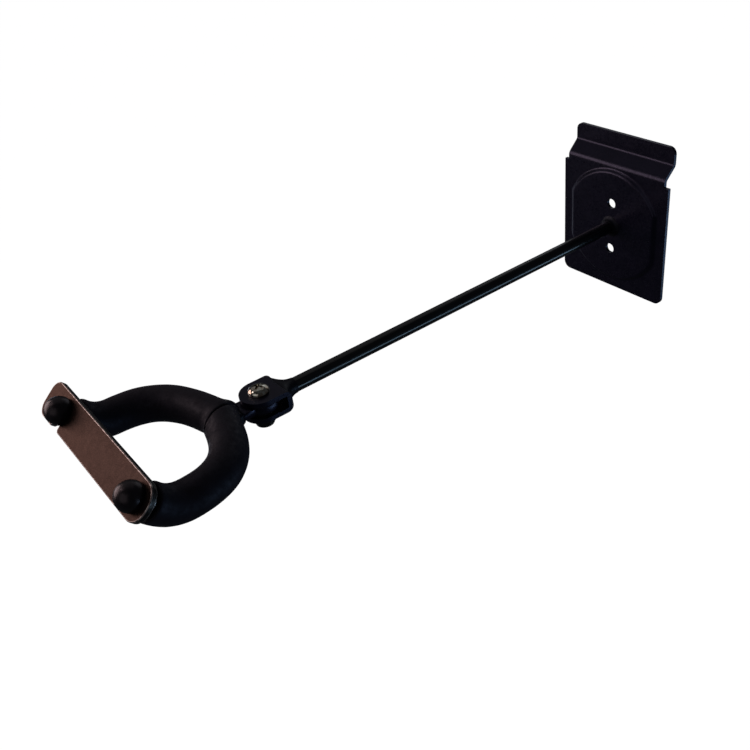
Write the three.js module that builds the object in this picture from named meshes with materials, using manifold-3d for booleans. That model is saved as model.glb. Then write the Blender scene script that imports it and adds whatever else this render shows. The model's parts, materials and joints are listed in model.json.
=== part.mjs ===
// Slat-wall guitar hanger: a pressed wall plate carries a straight rod arm, a folded clevis at its tip
// holds a swivelling padded yoke, and a metal gate swings across the two yoke tips behind rubber ball caps.
//
// Millimetres. +X is right along the wall, -Y points out into the room along the arm, and +Z is up.
// The hanger's own origin is on the wall plane, at the middle of the plate's lower border. The pieces are
// laid out from the arm's axis, so the group as a whole is raised by ARM_HEIGHT.

import * as THREE from "three";
import { mergeVertices } from "three/addons/utils/BufferGeometryUtils.js";
import Module from "manifold-3d";

const wasm = await Module();
wasm.setup();

// ---- driving dimensions ----

const ARM_HEIGHT = 37.5; // arm axis above the middle of the plate's lower border

const SHEET = 2; // wall plate thickness
const PLATE_HALF = 38.1; // a 3 inch wide plate
const PLATE_BOTTOM = -40.6;
const PLATE_SHOULDER = 33.2;
const PLATE_CORNER = 4.6;
const LIP_HALF = 35.2;
const LIP_CREASE_LOW = 36.6;
const LIP_CREASE_HIGH = 43.3;
const LIP_TOP = 54;
const LIP_SETBACK = 6.9; // how far the hooked lip stands behind the plate
const LIP_CORNER = 4;

const PAD_RADIUS = 35.3; // pressed round pad, cut straight at both sides
const PAD_HALF = 32;
const PAD_RISE = 1.7;
const SCREW_HOLE_Z = 14.5;
const SCREW_HOLE_RADIUS = 3;

const ARM_RADIUS = 3.75;
const ARM_SPIGOT_RADIUS = 2.8; // turned-down end that passes through the plate
const ARM_PEEN_RADIUS = 4.6; // the spigot's end is riveted over behind the plate
const ARM_PEEN_HEIGHT = 1.1;
const BASE_WELD_LENGTH = 2.6;
const BASE_WELD_LEG = 2.4;

const PIVOT_Y = -249; // swivel bolt axis
const CLEVIS_HALF_WIDTH = 9.8;
const CLEVIS_BACK = 12; // back face of the web, behind the bolt axis
const STRAP = 2.5; // clevis strap thickness
const EAR_INSIDE = 3.3; // half of the gap between the ears
const EAR_OUTSIDE = EAR_INSIDE + STRAP;
const STRAP_BEND = 3.4; // outside radius of the clevis bends
const FLARE_LENGTH = 7; // the weld that spreads the arm's end into the web
const FLARE_HALF_WIDTH = 8.8;
const FLARE_HALF_HEIGHT = EAR_OUTSIDE - 0.4;

const BOLT_RADIUS = 3; // M6
const BOLT_HOLE = 3.3;
const HEAD_RADIUS = 5.3;
const HEAD_HEIGHT = 3.6;
const HEAD_RIM = 0.4; // straight edge under the dome
const RECESS_LENGTH = 4.8; // cross recess for a screwdriver
const RECESS_WIDTH = 1.1;
const RECESS_DEPTH = 1.5;
const RECESS_TURN = Math.PI / 5;
const NUT_FLATS = 10;
const NUT_CHAMFER = 0.6;
const NUT_HEX_HEIGHT = 4.2;
const NUT_COLLAR_HEIGHT = 1.4;
const NUT_WASHER = 1;
const NUT_WASHER_RADIUS = 6.2;
const INSERT_RADIUS = 4.05; // nylon locking ring in the nut's collar
const INSERT_HEIGHT = 1.5;
const BOLT_PROUD = 0.8; // bolt end below the nut

const TONGUE_HALF_THICK = 2.1;
const TONGUE_EYE = 8.4;
const TONGUE_HALF_WIDTH = 5.6;
const NYLON_WASHER = 0.9;
const NYLON_WASHER_RADIUS = 7.8;
const NYLON_PLAY = 0.1; // between a nylon washer and its ear

const YOKE_Z = 2; // the yoke rod is welded a little above the tongue's middle
const YOKE_BACK = 21.7; // bolt axis to the point where the two prongs' centre lines meet
const YOKE_SPREAD = THREE.MathUtils.degToRad(32.5); // how far forward of sideways each prong sets out
const YOKE_DEPTH = 37.3; // from that point forward to where the prongs start to turn up
const YOKE_HALF = 39.9; // half the distance between the two prongs' centre lines
const POINT_PULL = 8.2; // lengths of the curve's handles at the point and at the side
const SIDE_PULL = 32.7;
const YOKE_ROD = 4; // rod radius
const TIP_ANGLE = THREE.MathUtils.degToRad(48.6); // how far the prong ends turn up
const TIP_BEND = 19.25; // centre line radius of that bend
const TIP_RUN = 2.59; // straight length past the bend
const WELD_OVER = 1.9; // weld bead's height over the tongue
const WELD_LENGTH = 5.8;
const FOAM_RADIUS = 9;
const FOAM_BORE = 4.3;
const SLIT_ROOM = 0.3; // clear of the weld in the foam's slit
const SEAM_TURN = THREE.MathUtils.degToRad(12.5); // the sleeves meet on a slanting plane beside the point
const SEAM_OFFSET = 3.4;

// Distances along a prong tip, counted from the end of its straight run.
const ROD_SHOULDER = 0.9;
const COLLAR_THICK = 2.6;
const GATE_BACK = 3.9;
const GATE_THICK = 3;
const NECK_RADIUS = 2.5;
const NECK_END = 13.5;
const COLLAR_RADIUS = 7.4;
const BALL_RADIUS = 6.9;
const BALL_LIFT = 2.1; // ball centre above the gate's front face
const GATE_HALF_WIDTH = 9.2;
const GATE_NEAR_END = 10.5; // overhang past the pivot
const GATE_FAR_END = 20; // overhang past the latch neck, the finger tab
const GATE_SLOT_HALF = 2.9;
const GATE_MOUTH = 1.2; // chamfer at the slot's mouth
const GATE_FAR_CORNER = 6;
const GATE_NEAR_CORNER = 8.4;

const GAP = 0.3; // between a part and what is cut to fit it
const FIT = 0.05; // between parts that are bolted or pressed together

// ---- materials ----

function paint(color, roughness, metalness) {
  return new THREE.MeshStandardMaterial({ color, roughness, metalness });
}
const SATIN_BLACK = () => paint(0x14131a, 0.42, 0.3);
const GLOSS_BLACK = () => paint(0x0e1218, 0.25, 0.35);
const CHROME = () => paint(0xc8c9cb, 0.12, 1);
const DARK_ZINC = () => paint(0x2a2a2c, 0.4, 0.9);
const NYLON = () => paint(0x1b1b1c, 0.55, 0);
const FOAM = () => paint(0x121015, 0.9, 0);
const RUBBER = () => paint(0x0c0b0e, 0.45, 0);
const BROWN_STEEL = () => paint(0x53403b, 0.38, 0.8);
const WELD = () => paint(0x15151a, 0.5, 0.4);

// ---- solids ----

// A geometry as a manifold-3d solid.
function solid(geometry) {
  const bare = geometry.clone();
  bare.deleteAttribute("normal");
  bare.deleteAttribute("uv");
  const merged = mergeVertices(bare, 1e-4);
  return new wasm.Manifold(
    new wasm.Mesh({
      numProp: 3,
      vertProperties: new Float32Array(merged.attributes.position.array),
      triVerts: new Uint32Array(merged.index.array),
    }),
  );
}

// A manifold-3d solid as a geometry.
function geometryOf(body) {
  const mesh = body.getMesh();
  const geometry = new THREE.BufferGeometry();
  geometry.setAttribute("position", new THREE.BufferAttribute(mesh.vertProperties.slice(), 3));
  geometry.setIndex(new THREE.BufferAttribute(mesh.triVerts.slice(), 1));
  geometry.computeVertexNormals();
  return geometry;
}

// A flat shape made thick: plane "xy", "xz" or "yz", from level `from` to level `to` on the third axis.
function slab(shape, plane, from, to, curveSegments = 12) {
  const geometry = new THREE.ExtrudeGeometry(shape, { depth: to - from, bevelEnabled: false, curveSegments });
  const X = new THREE.Vector3(1, 0, 0);
  const Y = new THREE.Vector3(0, 1, 0);
  const Z = new THREE.Vector3(0, 0, 1);
  if (plane === "xy") return geometry.translate(0, 0, from);
  const onto = new THREE.Matrix4();
  if (plane === "yz") return geometry.translate(0, 0, from).applyMatrix4(onto.makeBasis(Y, Z, X));
  return geometry.translate(0, 0, -to).applyMatrix4(onto.makeBasis(X, Z, Y.negate()));
}

// A rod or tube of revolution about the line through `at` along `axis`; the profile is [radius, height] pairs.
function turned(profile, at, axis, segments = 24) {
  const points = profile.map(([r, h]) => new THREE.Vector2(r, h));
  const geometry = new THREE.LatheGeometry(points, segments);
  const turn = new THREE.Quaternion().setFromUnitVectors(new THREE.Vector3(0, 1, 0), axis);
  return geometry.applyQuaternion(turn).translate(at.x, at.y, at.z);
}

function rod(radius, from, to, at, axis, segments) {
  return turned([[0, from], [radius, from], [radius, to], [0, to]], at, axis, segments);
}

function ring(bore, radius, from, to, at, axis) {
  return turned([[bore, from], [radius, from], [radius, to], [bore, to], [bore, from]], at, axis);
}

// A rectangle from (x0, y0) to (x1, y1) with one radius per corner, starting at the lower left.
function roundedRect(x0, y0, x1, y1, [r00, r10, r11, r01]) {
  const s = new THREE.Shape();
  s.moveTo(x0 + r00, y0);
  s.lineTo(x1 - r10, y0);
  if (r10) s.absarc(x1 - r10, y0 + r10, r10, -Math.PI / 2, 0);
  s.lineTo(x1, y1 - r11);
  if (r11) s.absarc(x1 - r11, y1 - r11, r11, 0, Math.PI / 2);
  s.lineTo(x0 + r01, y1);
  if (r01) s.absarc(x0 + r01, y1 - r01, r01, Math.PI / 2, Math.PI);
  s.lineTo(x0, y0 + r00);
  if (r00) s.absarc(x0 + r00, y0 + r00, r00, Math.PI, 1.5 * Math.PI);
  return s;
}

const ORIGIN = new THREE.Vector3();
const ALONG_X = new THREE.Vector3(1, 0, 0);
const OUTWARD = new THREE.Vector3(0, -1, 0);
const UP = new THREE.Vector3(0, 0, 1);
const PIVOT = new THREE.Vector3(0, PIVOT_Y, 0);

const group = new THREE.Group();
group.position.z = ARM_HEIGHT;

function add(name, geometry, material) {
  const mesh = new THREE.Mesh(geometry, material);
  mesh.name = name;
  group.add(mesh);
  return mesh;
}

// ---- wall plate ----

// The round pad's outline: a circle cut straight at both sides.
function padShape(inset) {
  const r = PAD_RADIUS - inset;
  const half = PAD_HALF - inset;
  const a = Math.acos(half / r);
  const s = new THREE.Shape();
  s.absarc(0, 0, r, a, Math.PI - a);
  s.absarc(0, 0, r, Math.PI + a, 2 * Math.PI - a);
  s.closePath();
  return s;
}

// The pad as a plateau with a 45 degree flank whose foot, `inset` inside the outline, stands at -Y `level`.
function padPlateau(inset, level) {
  const foot = 3 * SHEET;
  const flank = {
    depth: foot,
    bevelEnabled: true,
    bevelThickness: PAD_RISE,
    bevelSize: PAD_RISE,
    bevelOffset: -PAD_RISE,
    bevelSegments: 1,
    curveSegments: 16,
  };
  const geometry = new THREE.ExtrudeGeometry(padShape(inset), flank).rotateX(Math.PI / 2);
  return solid(geometry.translate(0, foot - level, 0));
}

function wallPlate() {
  const tuck = 1; // the lip runs this far down into the body
  const feet = [PLATE_CORNER, PLATE_CORNER, 0, 0];
  const body = roundedRect(-PLATE_HALF, PLATE_BOTTOM, PLATE_HALF, PLATE_SHOULDER, feet);
  const heads = [0, 0, LIP_CORNER, LIP_CORNER];
  const lip = roundedRect(-LIP_HALF, PLATE_SHOULDER - tuck, LIP_HALF, LIP_TOP, heads);
  const fold = new THREE.Shape();
  fold.moveTo(0, PLATE_SHOULDER - tuck);
  fold.lineTo(0, LIP_CREASE_LOW);
  fold.lineTo(LIP_SETBACK, LIP_CREASE_HIGH);
  fold.lineTo(LIP_SETBACK, LIP_TOP);
  fold.lineTo(LIP_SETBACK - SHEET, LIP_TOP);
  fold.lineTo(LIP_SETBACK - SHEET, LIP_CREASE_HIGH + SHEET / 2);
  fold.lineTo(-SHEET, LIP_CREASE_LOW + SHEET / 2);
  fold.lineTo(-SHEET, PLATE_SHOULDER - tuck);
  const lipSolid = solid(slab(fold, "yz", -LIP_HALF, LIP_HALF)).intersect(
    solid(slab(lip, "xz", -2 * SHEET, LIP_SETBACK + SHEET)),
  );
  let plate = solid(slab(body, "xz", -SHEET, 0)).add(lipSolid);
  const roomBack = -SHEET / 4; // only what stands in front of this level is kept of the pad's front skin
  const room = new THREE.BoxGeometry(2 * PLATE_HALF, 4 * SHEET, 2 * PLATE_HALF);
  const front = padPlateau(0, SHEET).intersect(solid(room.translate(0, roomBack - 2 * SHEET, 0)));
  plate = plate.add(front);
  plate = plate.subtract(padPlateau(SHEET / 2, 0));
  const through = (z, r) => solid(rod(r, -SHEET, 3 * SHEET, new THREE.Vector3(0, 0, z), OUTWARD, 20));
  plate = plate.subtract(through(SCREW_HOLE_Z, SCREW_HOLE_RADIUS));
  plate = plate.subtract(through(-SCREW_HOLE_Z, SCREW_HOLE_RADIUS));
  return plate.subtract(through(0, ARM_SPIGOT_RADIUS + GAP));
}

const PAD_FRONT = SHEET + PAD_RISE; // distance of the pad's front face from the wall
add("wall_plate", geometryOf(wallPlate()), SATIN_BLACK());

// ---- arm ----

const WEB_Y = PIVOT_Y + CLEVIS_BACK; // the clevis web's back face

const armProfile = [
  [0, PAD_RISE - ARM_PEEN_HEIGHT - GAP],
  [ARM_PEEN_RADIUS - 1, PAD_RISE - ARM_PEEN_HEIGHT - GAP],
  [ARM_PEEN_RADIUS, PAD_RISE - GAP - ARM_PEEN_HEIGHT / 2],
  [ARM_PEEN_RADIUS, PAD_RISE - GAP],
  [ARM_SPIGOT_RADIUS, PAD_RISE - GAP],
  [ARM_SPIGOT_RADIUS, PAD_FRONT + GAP],
  [ARM_RADIUS, PAD_FRONT + GAP],
  [ARM_RADIUS, -WEB_Y - FIT],
  [0, -WEB_Y - FIT],
];
add("arm_rod", turned(armProfile, ORIGIN, OUTWARD, 28), GLOSS_BLACK());

// A concave fillet of revolution round the arm: `leg` wide at level `from` and `length` long.
function filletProfile(from, length, leg, steps = 6) {
  const inner = ARM_RADIUS + FIT;
  const toe = 0.35; // the bead's thickness at its thin end
  const profile = [[inner, from]];
  for (let i = 0; i <= steps; i++) {
    const a = (i / steps) * (Math.PI / 2);
    profile.push([inner + toe + leg * (1 - Math.sin(a)), from + length * (1 - Math.cos(a))]);
  }
  profile.push([inner, from + length], [inner, from]);
  return profile;
}

const baseWeld = filletProfile(PAD_FRONT + FIT, BASE_WELD_LENGTH, BASE_WELD_LEG);
add("arm_base_weld", turned(baseWeld, ORIGIN, OUTWARD), WELD());

// The clevis strap's outer outline seen from its side, with `room` added all round.
function strapOutline(room) {
  const front = PIVOT_Y - CLEVIS_HALF_WIDTH - 1 - room;
  const corners = [0, STRAP_BEND + room, STRAP_BEND + room, 0];
  return roundedRect(front, -EAR_OUTSIDE - room, WEB_Y + room, EAR_OUTSIDE + room, corners);
}

// The clevis end of the arm is a broad flared weld, flat above and below, that laps a little over the bends of
// the strap.
function clevisWeld() {
  const lap = STRAP_BEND / 2;
  const profile = filletProfile(0, FLARE_LENGTH, FLARE_HALF_WIDTH - ARM_RADIUS, 7);
  const end = new THREE.Vector3(0, WEB_Y + FIT, 0);
  const fillet = solid(turned(profile, end, OUTWARD.clone().negate()));
  const foot = solid(ring(profile[0][0], FLARE_HALF_WIDTH, -FIT, lap, end, OUTWARD));
  const flats = new THREE.BoxGeometry(4 * FLARE_HALF_WIDTH, 4 * FLARE_LENGTH, 2 * FLARE_HALF_HEIGHT);
  const strap = slab(strapOutline(GAP), "yz", -2 * CLEVIS_HALF_WIDTH, 2 * CLEVIS_HALF_WIDTH, 6);
  const joined = fillet.add(foot).intersect(solid(flats.translate(0, end.y, 0)));
  return joined.subtract(solid(strap));
}

add("clevis_weld", geometryOf(clevisWeld()), WELD());

// ---- clevis ----

function clevis() {
  const inner = STRAP_BEND - STRAP;
  const openFront = PIVOT_Y - 2 * CLEVIS_HALF_WIDTH;
  const inside = roundedRect(openFront, -EAR_INSIDE, WEB_Y - STRAP, EAR_INSIDE, [0, inner, inner, 0]);
  const strap = solid(slab(strapOutline(0), "yz", -CLEVIS_HALF_WIDTH, CLEVIS_HALF_WIDTH, 6)).subtract(
    solid(slab(inside, "yz", -2 * CLEVIS_HALF_WIDTH, 2 * CLEVIS_HALF_WIDTH, 4)),
  );
  const plan = new THREE.Shape();
  plan.absarc(0, PIVOT_Y, CLEVIS_HALF_WIDTH, Math.PI, 2 * Math.PI);
  plan.lineTo(CLEVIS_HALF_WIDTH, WEB_Y + STRAP);
  plan.lineTo(-CLEVIS_HALF_WIDTH, WEB_Y + STRAP);
  plan.closePath();
  const blank = solid(slab(plan, "xy", -2 * EAR_OUTSIDE, 2 * EAR_OUTSIDE, 14));
  return strap.intersect(blank).subtract(solid(rod(BOLT_HOLE, -2 * EAR_OUTSIDE, 2 * EAR_OUTSIDE, PIVOT, UP)));
}

add("clevis_bracket", geometryOf(clevis()), SATIN_BLACK());

// ---- pivot bolt, washers and lock nut ----

const NUT_TOP = -EAR_OUTSIDE - FIT - NUT_WASHER - FIT;
const NUT_LOW = NUT_TOP - NUT_HEX_HEIGHT - NUT_COLLAR_HEIGHT;
const BOLT_LOW = NUT_LOW - BOLT_PROUD;

function pivotBolt() {
  const base = EAR_OUTSIDE + FIT;
  const point = 0.6; // chamfer at the bolt's end
  const profile = [
    [0, BOLT_LOW],
    [BOLT_RADIUS - point, BOLT_LOW],
    [BOLT_RADIUS, BOLT_LOW + point],
    [BOLT_RADIUS, base],
    [HEAD_RADIUS, base],
  ];
  const steps = 7;
  for (let i = 0; i < steps; i++) {
    const a = (i / steps) * (Math.PI / 2);
    profile.push([HEAD_RADIUS * Math.cos(a), base + HEAD_RIM + (HEAD_HEIGHT - HEAD_RIM) * Math.sin(a)]);
  }
  profile.push([0, base + HEAD_HEIGHT]);
  let bolt = solid(turned(profile, PIVOT, UP));
  for (const turn of [0, Math.PI / 2]) {
    const slot = new THREE.BoxGeometry(RECESS_LENGTH, RECESS_WIDTH, 2 * RECESS_DEPTH);
    slot.rotateZ(turn + RECESS_TURN).translate(0, PIVOT_Y, base + HEAD_HEIGHT);
    bolt = bolt.subtract(solid(slot));
  }
  return bolt;
}

add("pivot_bolt", geometryOf(pivotBolt()), CHROME());
const washerTop = EAR_INSIDE - NYLON_PLAY;
const nylonWasher = (from) => ring(BOLT_HOLE, NYLON_WASHER_RADIUS, from, from + NYLON_WASHER, PIVOT, UP);
add("friction_washer_upper", nylonWasher(washerTop - NYLON_WASHER), NYLON());
add("friction_washer_lower", nylonWasher(-washerTop), NYLON());
const nutWasherTop = -EAR_OUTSIDE - FIT;
const nutWasher = ring(BOLT_HOLE, NUT_WASHER_RADIUS, nutWasherTop - NUT_WASHER, nutWasherTop, PIVOT, UP);
add("nut_washer", nutWasher, DARK_ZINC());

// A hexagon nut with chamfered corners below a round collar that holds a nylon locking ring.
function lockNut() {
  const corner = NUT_FLATS / Math.sqrt(3);
  const clear = corner + NUT_CHAMFER / 6;
  const hex = new THREE.CylinderGeometry(corner, corner, NUT_HEX_HEIGHT, 6).rotateX(Math.PI / 2);
  const hexLow = NUT_TOP - NUT_HEX_HEIGHT;
  const crown = turnedDown([
    [corner - NUT_CHAMFER, NUT_TOP],
    [clear, NUT_TOP - NUT_CHAMFER],
    [clear, hexLow + NUT_CHAMFER],
    [corner - NUT_CHAMFER, hexLow],
  ]);
  const collarRadius = NUT_FLATS / 2 - 0.3;
  const collarEdge = 0.4;
  const collar = turnedDown([
    [collarRadius, hexLow + NUT_CHAMFER],
    [collarRadius, NUT_LOW + collarEdge],
    [collarRadius - collarEdge, NUT_LOW],
  ]);
  const nut = solid(hex.translate(0, PIVOT_Y, (NUT_TOP + hexLow) / 2)).intersect(crown).add(collar);
  const recess = rod(INSERT_RADIUS + FIT, BOLT_LOW, NUT_LOW + INSERT_HEIGHT, PIVOT, UP);
  return nut.subtract(solid(rod(BOLT_HOLE, BOLT_LOW, 0, PIVOT, UP))).subtract(solid(recess));
}

// A solid of revolution about the pivot axis from a profile that runs downwards, closed onto the axis.
function turnedDown(profile) {
  const upward = [...profile].reverse();
  const closed = [[0, upward[0][1]], ...upward, [0, upward[upward.length - 1][1]]];
  return solid(turned(closed, PIVOT, UP));
}

add("lock_nut", geometryOf(lockNut()), DARK_ZINC());
const insertTop = NUT_LOW + INSERT_HEIGHT - FIT;
add("lock_nut_insert", ring(BOLT_HOLE, INSERT_RADIUS, NUT_LOW + GAP, insertTop, PIVOT, UP), NYLON());

// ---- yoke centre line ----

const POINT = new THREE.Vector3(0, PIVOT_Y - YOKE_BACK, YOKE_Z);
const POINT_AXIS = new THREE.Vector3(Math.cos(YOKE_SPREAD), -Math.sin(YOKE_SPREAD), 0);
const SIDE_END = new THREE.Vector3(YOKE_HALF, POINT.y - YOKE_DEPTH, YOKE_Z); // where a prong starts to turn up
const TIP_AXIS = new THREE.Vector3(0, -Math.cos(TIP_ANGLE), Math.sin(TIP_ANGLE));
const PRONG = new THREE.CubicBezierCurve3(
  POINT,
  POINT.clone().addScaledVector(POINT_AXIS, POINT_PULL),
  SIDE_END.clone().addScaledVector(OUTWARD, -SIDE_PULL),
  SIDE_END,
);
const PRONG_LENGTH = PRONG.getLength();
const BEND_LENGTH = TIP_BEND * TIP_ANGLE;
const TIP_START = PRONG_LENGTH + BEND_LENGTH + TIP_RUN;

// A point of the right-hand prong's centre line at a distance from the point of the yoke. Negative distances
// run straight on past it.
function prongPoint(distance) {
  if (distance < 0) return POINT.clone().addScaledVector(POINT_AXIS, distance);
  if (distance <= PRONG_LENGTH) return PRONG.getPointAt(distance / PRONG_LENGTH);
  const past = distance - PRONG_LENGTH;
  const a = Math.min(past, BEND_LENGTH) / TIP_BEND;
  const bend = new THREE.Vector3(0, -TIP_BEND * Math.sin(a), TIP_BEND * (1 - Math.cos(a)));
  return bend.add(SIDE_END).addScaledVector(TIP_AXIS, Math.max(past - BEND_LENGTH, 0));
}

// One prong's centre line between two distances; `side` is 1 for the right prong and -1 for the left one.
class ProngLine extends THREE.Curve {
  constructor(side, from, to) {
    super();
    this.side = side;
    this.from = from;
    this.to = to;
  }

  getPoint(t, target = new THREE.Vector3()) {
    target.copy(prongPoint(THREE.MathUtils.lerp(this.from, this.to, t)));
    target.x *= this.side;
    return target;
  }
}

// The point on a prong's tip axis at a distance past the end of its straight run.
function tipPoint(side, past) {
  const p = prongPoint(TIP_START + past);
  p.x *= side;
  return p;
}

const HALF_ROOM = 100; // boxes this wide hold everything on one side of a plane

// Everything right (1) or left (-1) of an upright plane that passes `offset` right of the yoke's point and
// is turned about the vertical.
function sideOf(side, offset = 0, turn = 0) {
  const box = new THREE.BoxGeometry(HALF_ROOM, 2 * HALF_ROOM, HALF_ROOM);
  box.translate((side * HALF_ROOM) / 2, 0, 0).rotateZ(turn);
  return solid(box.translate(POINT.x + offset, POINT.y, POINT.z));
}

// How finely the bar and the foam are cut up: steps along a prong, and facets in each quarter of its round.
const BAR_FACETS = { steps: 28, curveSegments: 7 };
const FOAM_FACETS = { steps: 22, curveSegments: 10 };
const CLEARANCE_FACETS = { steps: 8, curveSegments: 9 };

// A round bar or tube along both prongs out to a distance `to`, mitred where they meet.
function yokeTube(radius, bore, to, facets) {
  const mitre = 2 * radius; // each prong runs on this far before it is cut
  const overlap = 0.01;
  const halves = [1, -1].map((side) => {
    const section = new THREE.Shape().absarc(0, 0, radius, 0, 2 * Math.PI);
    if (bore) section.holes.push(new THREE.Path().absarc(0, 0, bore, 0, 2 * Math.PI, true));
    const extrudePath = new ProngLine(side, -mitre, to);
    const tube = new THREE.ExtrudeGeometry(section, { extrudePath, bevelEnabled: false, ...facets });
    return solid(tube).intersect(sideOf(side, -side * overlap));
  });
  return halves[0].add(halves[1]);
}

// ---- yoke rod, tongue and weld ----

let yokeRod = yokeTube(YOKE_ROD, 0, TIP_START + ROD_SHOULDER, BAR_FACETS);
for (const side of [-1, 1]) {
  const root = -ROD_SHOULDER;
  const edge = 0.7;
  const neck = [
    [0, root],
    [NECK_RADIUS, root],
    [NECK_RADIUS, NECK_END - edge],
    [NECK_RADIUS - edge, NECK_END],
    [0, NECK_END],
  ];
  yokeRod = yokeRod.add(solid(turned(neck, tipPoint(side, 0), TIP_AXIS)));
}
add("yoke_rod", geometryOf(yokeRod), SATIN_BLACK());

const rodClearance = yokeTube(YOKE_ROD + GAP, 0, 3 * YOKE_ROD, CLEARANCE_FACETS);

function tongue() {
  const plan = new THREE.Shape();
  const shoulder = Math.asin(TONGUE_HALF_WIDTH / TONGUE_EYE);
  plan.absarc(0, PIVOT_Y, TONGUE_EYE, -Math.PI / 2 + shoulder, 1.5 * Math.PI - shoulder);
  plan.lineTo(-TONGUE_HALF_WIDTH, POINT.y);
  plan.lineTo(TONGUE_HALF_WIDTH, POINT.y);
  plan.closePath();
  const lug = solid(slab(plan, "xy", -TONGUE_HALF_THICK, TONGUE_HALF_THICK, 14));
  const eye = solid(rod(BOLT_HOLE, -EAR_INSIDE, EAR_INSIDE, PIVOT, UP));
  return lug.subtract(eye).subtract(rodClearance).intersect(behind(POINT.y));
}

// Everything nearer the wall than a level.
function behind(level) {
  const box = new THREE.BoxGeometry(2 * HALF_ROOM, HALF_ROOM, 2 * HALF_ROOM);
  return solid(box.translate(0, level + HALF_ROOM / 2, 0));
}

add("yoke_tongue", geometryOf(tongue()), SATIN_BLACK());

// A box round the tongue, `room` wider on each side, from the yoke's point back past the bolt.
function tongueBox(room) {
  const width = 2 * (TONGUE_HALF_WIDTH + room);
  const height = 2 * (TONGUE_HALF_THICK + room);
  return solid(new THREE.BoxGeometry(width, 2 * YOKE_BACK, height).translate(0, POINT.y + YOKE_BACK, 0));
}

// The weld is a collar round the tongue's front end, hollowed to the tongue and to the rod.
function yokeWeld() {
  const half = TONGUE_HALF_WIDTH + WELD_OVER;
  const tall = TONGUE_HALF_THICK + WELD_OVER;
  const outer = roundedRect(-half, -tall, half, tall, Array(4).fill(WELD_OVER));
  const bead = solid(slab(outer, "xz", POINT.y + YOKE_ROD, POINT.y + YOKE_ROD + WELD_LENGTH - GAP, 4));
  return bead.subtract(tongueBox(FIT)).subtract(rodClearance);
}

add("yoke_weld", geometryOf(yokeWeld()), WELD());

// ---- foam sleeves ----

const foamEnd = TIP_START + ROD_SHOULDER - GAP;
const foam = yokeTube(FOAM_RADIUS, FOAM_BORE, foamEnd, FOAM_FACETS).subtract(tongueBox(WELD_OVER + SLIT_ROOM));
for (const [side, hand] of [[1, "right"], [-1, "left"]]) {
  const sleeve = foam.intersect(sideOf(side, SEAM_OFFSET + (side * GAP) / 2, SEAM_TURN));
  add(`foam_sleeve_${hand}`, geometryOf(sleeve), FOAM());
}

// ---- collars and ball caps ----

const BALL_BASE = GATE_BACK + GATE_THICK + GAP;
const BALL_CENTRE = GATE_BACK + GATE_THICK + BALL_LIFT;

// A rubber ball with a flat base against the gate and a blind bore for the rod's neck.
function ballProfile() {
  const bore = NECK_RADIUS + FIT;
  const steps = 9;
  const start = Math.asin((BALL_BASE - BALL_CENTRE) / BALL_RADIUS);
  const profile = [
    [0, NECK_END + FIT],
    [bore, NECK_END + FIT],
    [bore, BALL_BASE],
  ];
  for (let i = 0; i < steps; i++) {
    const a = THREE.MathUtils.lerp(start, Math.PI / 2, i / steps);
    profile.push([BALL_RADIUS * Math.cos(a), BALL_CENTRE + BALL_RADIUS * Math.sin(a)]);
  }
  profile.push([0, BALL_CENTRE + BALL_RADIUS]);
  return profile;
}

for (const [side, hand] of [[1, "right"], [-1, "left"]]) {
  const chamfer = 0.5;
  const low = ROD_SHOULDER + FIT;
  const high = low + COLLAR_THICK;
  const bore = NECK_RADIUS + FIT;
  const collar = [
    [bore, low],
    [COLLAR_RADIUS - chamfer, low],
    [COLLAR_RADIUS, low + chamfer],
    [COLLAR_RADIUS, high - chamfer],
    [COLLAR_RADIUS - chamfer, high],
    [bore, high],
    [bore, low],
  ];
  add(`end_collar_${hand}`, turned(collar, tipPoint(side, 0), TIP_AXIS), GLOSS_BLACK());
  add(`ball_cap_${hand}`, turned(ballProfile(), tipPoint(side, 0), TIP_AXIS, 24), RUBBER());
}

// ---- gate ----

// The gate lies square to the right-hand tip: shape x runs along the wall from the pivot, and shape y runs up
// the gate's face.
function gate() {
  const far = -2 * YOKE_HALF;
  const low = -GATE_HALF_WIDTH;
  const nearX = GATE_NEAR_END - GATE_NEAR_CORNER;
  const nearY = GATE_HALF_WIDTH - GATE_NEAR_CORNER;
  const farX = far - GATE_FAR_END + GATE_FAR_CORNER;
  const farY = GATE_HALF_WIDTH - GATE_FAR_CORNER;
  const s = new THREE.Shape();
  s.moveTo(far + GATE_SLOT_HALF + GATE_MOUTH, low);
  s.lineTo(nearX, low);
  s.absarc(nearX, -nearY, GATE_NEAR_CORNER, -Math.PI / 2, 0);
  s.absarc(nearX, nearY, GATE_NEAR_CORNER, 0, Math.PI / 2);
  s.lineTo(farX, -low);
  s.absarc(farX, farY, GATE_FAR_CORNER, Math.PI / 2, Math.PI);
  s.absarc(farX, -farY, GATE_FAR_CORNER, Math.PI, 1.5 * Math.PI);
  s.lineTo(far - GATE_SLOT_HALF - GATE_MOUTH, low);
  s.lineTo(far - GATE_SLOT_HALF, low + GATE_MOUTH);
  s.absarc(far, 0, GATE_SLOT_HALF, Math.PI, 0, true);
  s.lineTo(far + GATE_SLOT_HALF, low + GATE_MOUTH);
  s.closePath();
  s.holes.push(new THREE.Path().absarc(0, 0, NECK_RADIUS + GAP, 0, 2 * Math.PI, true));
  return new THREE.ExtrudeGeometry(s, { depth: GATE_THICK, bevelEnabled: false, curveSegments: 12 });
}

const gateMesh = add("retaining_gate", gate(), BROWN_STEEL());
gateMesh.position.copy(tipPoint(1, GATE_BACK));
gateMesh.quaternion.setFromRotationMatrix(
  new THREE.Matrix4().makeBasis(ALONG_X, TIP_AXIS.clone().cross(ALONG_X), TIP_AXIS),
);

export default group;
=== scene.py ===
# The looks of a slat-wall guitar hanger. Every piece is a fine mesh that stands for one node of the
# frame, built in millimetres from the frame's own places and stored in metres.

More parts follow.
